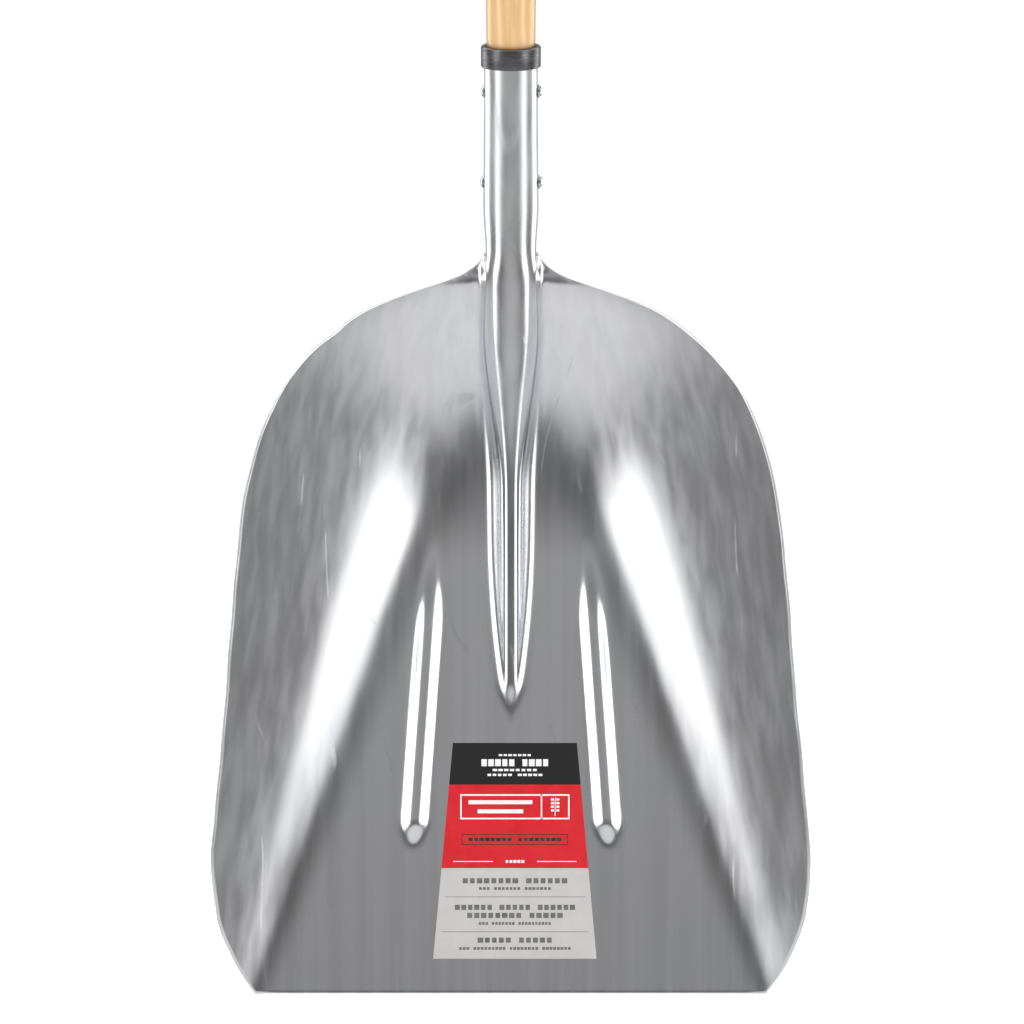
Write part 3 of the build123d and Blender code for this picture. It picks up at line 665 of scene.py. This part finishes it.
def make_scoop(material):
    steps = np.linspace(0, 1, COLUMNS + 1)
    shares = EVEN_SHARE * steps + CROWDED_SHARE * steps ** 2
    rows = scoop_rows()
    vertices = []
    for z in rows:
        front, back = section_loop(z, shares)
        inset = end_inset(z, rows) / 2
        tilt = ease((z - CURL_TOP) / (MOUTH_Z - CURL_TOP - MOUTH_STRAIGHT))
        for near, far in ((front, back), (back, front)):
            ring = []
            for (x, up), (far_x, far_up) in zip(near, far):
                x, up = x + (far_x - x) * inset, up + (far_up - up) * inset
                lower = tilt * (up - axis_rise(z)) * cos(LIFT) * sin(LIFT)
                ring.append(Vector((x, -up + lower * tan(LIFT), z - lower)) * MM)
            vertices += ring if near is front else ring[::-1]
    count = 2 * len(front)
    faces = []
    for row in range(len(rows) - 1):
        for i in range(count):
            j = (i + 1) % count
            low, high = row * count, (row + 1) * count
            faces.append((low + i, low + j, high + j, high + i))
    top = (len(rows) - 1) * count
    for i in range(count // 2 - 1):
        j = count - 1 - i
        faces.append((i, j, j - 1, i + 1))
        faces.append((top + i, top + i + 1, top + j - 1, top + j))
    scoop = mesh_piece("scoop_sheet", vertices, faces, material)
    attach(scoop, "root")
    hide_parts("scoop")


# ---- collar, shaft and crossbar ---------------------------------------------------------------

def rounded(outline, corner, radius, steps=4):
    """outline with the corner at an index replaced by a quarter round."""
    before, here, after = (Vector(outline[(corner + k) % len(outline)]) for k in (-1, 0, 1))
    start = here + (before - here).normalized() * radius
    end = here + (after - here).normalized() * radius
    centre = start + end - here
    arc = []
    for k in range(steps + 1):
        angle = pi / 2 * k / steps
        arc.append(tuple(centre + (start - centre) * cos(angle) + (end - centre) * sin(angle)))
    return outline[:corner] + arc + outline[corner + 1:]


def make_collar(material):
    bottom, top = SOCKET_LENGTH + COLLAR_LIP - COLLAR_LENGTH, SOCKET_LENGTH + COLLAR_LIP
    lip_radius, lip_foot = SHAFT_COLLAR_RADIUS + CLEARANCE, top - COLLAR_TOP_SHEET
    outline = [
        (COLLAR_BORE, bottom), (COLLAR_RADIUS, bottom), (COLLAR_RADIUS, top),
        (lip_radius, top), (lip_radius, lip_foot), (COLLAR_BORE, lip_foot),
    ]
    outline = rounded(outline, 2, COLLAR_TOP_ROUND, 5)
    outline = rounded(outline, 1, COLLAR_FOOT_ROUND, 4)
    collar = turned_piece("socket_ring", outline, NECK, HANDLE_DIRECTION, HANDLE_FRONT, material)
    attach(collar, "root")
    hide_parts("socket_collar")


def make_shaft(material):
    outline = [
        (0, SHAFT_FOOT_AT), (SHAFT_FOOT_RADIUS, SHAFT_FOOT_AT), (SHAFT_SEAT_RADIUS, SHAFT_SEAT_AT),
        (SHAFT_SEAT_RADIUS, SOCKET_LENGTH), (SHAFT_COLLAR_RADIUS, SOCKET_LENGTH + CLEARANCE),
    ]
    for k in range(1, SHAFT_SWELL_STEPS + 1):
        share = k / SHAFT_SWELL_STEPS
        radius = SHAFT_COLLAR_RADIUS + (SHAFT_RADIUS - SHAFT_COLLAR_RADIUS) * float(ease(share))
        outline.append((radius, SOCKET_LENGTH + CLEARANCE + SHAFT_SWELL * share))
    for k in range(SHAFT_NECK_STEPS + 1):
        share = k / SHAFT_NECK_STEPS
        radius = SHAFT_RADIUS + (SHAFT_NECK_RADIUS - SHAFT_RADIUS) * float(ease(share))
        outline.append((radius, SHAFT_NECK_AT + SHAFT_NECK_TAPER * share))
    outline += [(SHAFT_NECK_RADIUS, SHAFT_TOP_AT), (0, SHAFT_TOP_AT)]
    shaft = turned_piece("shaft_wood", outline, NECK, HANDLE_DIRECTION, HANDLE_FRONT, material)
    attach(shaft, "root")
    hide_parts("handle_shaft")


def make_crossbar(material):
    outline = [(CROSSBAR_BORE, -ARM_INNER)]
    for k in range(2 * CROSSBAR_STEPS + 1):
        share = k / CROSSBAR_STEPS - 1
        radius = CROSSBAR_RADIUS + (CROSSBAR_END_RADIUS - CROSSBAR_RADIUS) * share * share
        outline.append((radius, ARM_INNER * share))
    outline.append((CROSSBAR_BORE, ARM_INNER))
    outline = rounded(outline, len(outline) - 2, CROSSBAR_ROUND)
    outline = rounded(outline, 1, CROSSBAR_ROUND)
    middle, sideways = along(CROSSBAR_AT), Vector((1, 0, 0))
    bar = turned_piece("crossbar_wood", outline, middle, sideways, HANDLE_FRONT, material)
    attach(bar, "root")
    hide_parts("grip_crossbar")


# ---- CAD nodes that keep their shape ----------------------------------------------------------

def refinish(node_name, material):
    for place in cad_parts[node_name].material_slots:
        place.material = material


# ---- print on the label -----------------------------------------------------------------------

LABEL_MIDDLE = 0.0026       # in metres, like the two below
LABEL_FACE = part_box("product_label")[0][1]
INK = 0.00004               # thickness of the print


class Print:
    """Thin plates of ink, collected into one mesh for each colour."""

    def __init__(self, name, material):
        self.name, self.material = name, material
        self.vertices, self.faces = [], []

    def block(self, x, z, width, height):
        """A plate centred at x, z, in millimetres from the label's middle line and the origin."""
        first = len(self.vertices)
        for y in (LABEL_FACE, LABEL_FACE - INK):
            for right, up in ((-1, -1), (1, -1), (1, 1), (-1, 1)):
                place = (LABEL_MIDDLE + (x + right * width / 2) * MM, y, (z + up * height / 2) * MM)
                self.vertices.append(place)
        sides = [(0, 1, 5, 4), (1, 2, 6, 5), (2, 3, 7, 6), (3, 0, 4, 7), (4, 5, 6, 7), (0, 3, 2, 1)]
        self.faces += [tuple(first + k for k in side) for side in sides]

    def frame(self, x, z, width, height, line):
        for side in (-1, 1):
            self.block(x + side * (width - line) / 2, z, line, height)
            self.block(x, z + side * (height - line) / 2, width - 2 * line, line)

    def wording(self, x, z, width, height, words, gap_share=0.18):
        """A row of small blocks that stands for words: each entry of words is a letter count."""
        letters = sum(words)
        unit = width / (letters + 0.9 * (len(words) - 1))
        start = x - width / 2
        for count in words:
            for _ in range(count):
                letter = unit * (1 - gap_share) * rolls.uniform(0.8, 1.0)
                self.block(start + unit / 2, z, letter, height)
                start += unit
            start += unit * 0.9

    def ear(self, x, z, size):
        """A generic ear of grain: a stalk with kernels on both sides."""
        self.block(x, z, size * 0.05, size)
        for k in range(4):
            for side in (-1, 1):
                kernel_x, kernel_z = x + side * size * 0.15, z + size * (0.4 - 0.2 * k)
                self.block(kernel_x, kernel_z, size * 0.16, size * 0.12)

    def done(self):
        piece = mesh_piece(self.name, self.vertices, self.faces, self.material, smooth=False)
        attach(piece, "root")


rolls = random.Random(11)


def print_label():
    white_ink = printed_film("print_white", (0.82, 0.82, 0.82), (0.72, 0.72, 0.72))
    white = Print("label_print_white", white_ink)
    dark_ink = printed_film("print_dark", (0.02, 0.02, 0.022), (0.04, 0.04, 0.042))
    dark = Print("label_print_dark", dark_ink)
    grey_ink = printed_film("print_grey", (0.11, 0.11, 0.11), (0.16, 0.16, 0.16))
    grey = Print("label_print_grey", grey_ink)
    white.wording(0, 157.0, 22, 1.3, [7])
    white.wording(0, 152.0, 45, 4.6, [5, 4], 0.12)
    white.wording(0, 147.2, 30, 1.5, [8])
    white.wording(0, 144.0, 37, 1.5, [5, 5])
    white.frame(0, 123.0, 72, 16.5, 1.0)
    white.ear(26.5, 123.0, 12)
    white.block(17.5, 123.0, 0.9, 16.5)
    white.block(-9.5, 126.0, 42, 2.6)
    white.block(-9.5, 120.0, 30, 2.6)
    dark.frame(0, 101.5, 70, 7.2, 0.5)
    dark.wording(0, 101.5, 62, 2.2, [8, 8])
    for side in (-1, 1):
        white.block(side * 27.5, 87.0, 26, 0.5)
    white.wording(0, 87.0, 13, 1.8, [5])
    grey.wording(0, 74.3, 70, 3.4, [8, 6])
    grey.wording(0, 69.2, 48, 1.8, [3, 7, 7])
    grey.block(0, 63.7, 93, 0.35)
    grey.wording(0, 56.8, 80, 3.4, [6, 5, 6])
    grey.wording(0, 51.5, 64, 3.4, [8, 5])
    grey.wording(0, 46.2, 48, 1.8, [3, 7, 10])
    grey.block(0, 40.7, 97, 0.35)
    grey.wording(0, 35.2, 50, 3.4, [5, 5])
    grey.wording(0, 29.8, 74, 1.8, [3, 9, 8, 8])
    for ink in (white, dark, grey):
        ink.done()


# ---- studio -----------------------------------------------------------------------------------

# Levels are strengths of the surround, and the other figures are degrees unless they say otherwise.
AHEAD_LEVEL, AHEAD_LOW_LEVEL, AHEAD_LOW_AT = 0.385, 0.115, 18.0
BESIDE_LEVEL, BESIDE_FROM, BESIDE_TO = 0.215, 50.0, 70.0
PALE_LEVEL, PALE_FROM, PALE_TO = 0.76, 25.0, 29.5
BOX_LEVEL = 2.1
BOX_INNER, BOX_OUTER, BOX_TOP = (42.0, 48.0), (73.0, 68.0), (60.0, 45.0)
BOX_FOOT = (-0.485, -0.415)     # height over distance to the side
BACKDROP_LEVEL = 1.05           # what the camera sees behind the shovel

# In metres.
CAMERA_DISTANCE, CAMERA_WIDTH = 2.8, 0.674
CAMERA_PLACE = (0.0007, -CAMERA_DISTANCE, 0.317)
FLOOR_REACH = 30.0


def make_world():
    """Pale overhead and underfoot, a dim band at eye height, and a tall soft box on each side."""
    world = bpy.data.worlds.new("studio")
    bpy.context.scene.world = world
    world.use_nodes = True
    shop = Shop(world.node_tree)
    background = world.node_tree.nodes["Background"]
    toward = shop.add("ShaderNodeTexCoord").outputs["Generated"]
    axes = shop.add("ShaderNodeSeparateXYZ", {"Vector": toward}).outputs
    across = shop.math("ABSOLUTE", axes["X"])
    depth = shop.math("ABSOLUTE", axes["Y"])
    sideways = shop.math("DEGREES", shop.math("ARCTAN2", across, depth))
    upward = shop.math("DEGREES", shop.math("ARCSINE", axes["Z"]))
    steep = shop.math("ABSOLUTE", upward)
    ahead = shop.between(steep, 0.0, AHEAD_LOW_AT, AHEAD_LEVEL, AHEAD_LOW_LEVEL, smooth=False)
    beside = shop.between(sideways, BESIDE_FROM, BESIDE_TO)
    level = shop.math("MULTIPLY_ADD", beside, shop.math("SUBTRACT", BESIDE_LEVEL, ahead), ahead)
    pale = shop.between(steep, PALE_FROM, PALE_TO)
    level = shop.math("MULTIPLY_ADD", pale, shop.math("SUBTRACT", PALE_LEVEL, level), level)
    inner, outer = shop.between(sideways, *BOX_INNER), shop.between(sideways, *BOX_OUTER)
    box = shop.math("MULTIPLY", inner, outer)
    lean = shop.math("DIVIDE", axes["Z"], shop.math("MAXIMUM", across, 0.001))
    tall = shop.math("MULTIPLY", shop.between(lean, *BOX_FOOT), shop.between(upward, *BOX_TOP))
    soft_box = shop.math("MULTIPLY", box, tall)
    level = shop.math("MULTIPLY_ADD", soft_box, BOX_LEVEL, level)
    seen = shop.add("ShaderNodeLightPath").outputs["Is Camera Ray"]
    behind = shop.math("SUBTRACT", BACKDROP_LEVEL, level)
    strength = shop.math("MULTIPLY_ADD", seen, behind, level)
    background.inputs["Color"].default_value = (1, 1, 1, 1)
    shop.feed(background, "Strength", strength)


def make_floor():
    material, _, surface = finish("studio_floor")
    surface.inputs["Base Color"].default_value = (0.93, 0.93, 0.93, 1)
    surface.inputs["Roughness"].default_value = 0.9
    surface.inputs["Emission Color"].default_value = (1, 1, 1, 1)
    surface.inputs["Emission Strength"].default_value = 0.45
    reach, low = FLOOR_REACH, cad_box[0][2]
    corners = [(-reach, -reach, low), (reach, -reach, low), (reach, reach, low), (-reach, reach, low)]
    floor = mesh_piece("studio_floor", corners, [(0, 1, 2, 3)], material, smooth=False)
    floor.visible_glossy = False


def make_lamp(name, place, aim, size, power, glossy):
    lamp = bpy.data.lights.new(name, "AREA")
    lamp.shape = "RECTANGLE"
    lamp.size, lamp.size_y = size
    lamp.energy = power
    holder = bpy.data.objects.new(name, lamp)
    bpy.context.scene.collection.objects.link(holder)
    holder.location = place
    holder.rotation_euler = (Vector(aim) - Vector(place)).to_track_quat("-Z", "Y").to_euler()
    holder.visible_camera = False
    holder.visible_glossy = glossy


def make_camera():
    camera = bpy.data.cameras.new("camera")
    camera.sensor_width = 36.0
    camera.lens = camera.sensor_width * CAMERA_DISTANCE / CAMERA_WIDTH
    camera.clip_end = 100
    holder = bpy.data.objects.new("camera", camera)
    holder.location = CAMERA_PLACE
    holder.rotation_euler = (radians(90), 0, 0)
    bpy.context.scene.collection.objects.link(holder)
    bpy.context.scene.camera = holder


# ---- everything in place ----------------------------------------------------------------------

ALUMINIUM, COLLAR, RIVETS = scoop_aluminium(), collar_steel(), rivet_steel()
ENAMEL, WOOD, FILM = yoke_steel(), handle_wood(), label_film()

make_scoop(ALUMINIUM)
make_collar(COLLAR)
make_shaft(WOOD)
make_crossbar(WOOD)
for fitting in (
    "lower_socket_rivet", "upper_socket_rivet", "lower_socket_washer", "upper_socket_washer",
    "yoke_rivet", "yoke_washer", "grip_rod", "grip_washer_left", "grip_washer_right",
):
    refinish(fitting, RIVETS)
refinish("grip_yoke", ENAMEL)
refinish("product_label", FILM)
print_label()

make_world()
make_floor()
make_camera()
make_lamp(
    "front_fill", place=(0, -3.2, 2.2), aim=(0, 0, 0.5), size=(3.0, 2.0), power=34, glossy=False,
)
bpy.context.scene.view_settings.view_transform = "Standard"
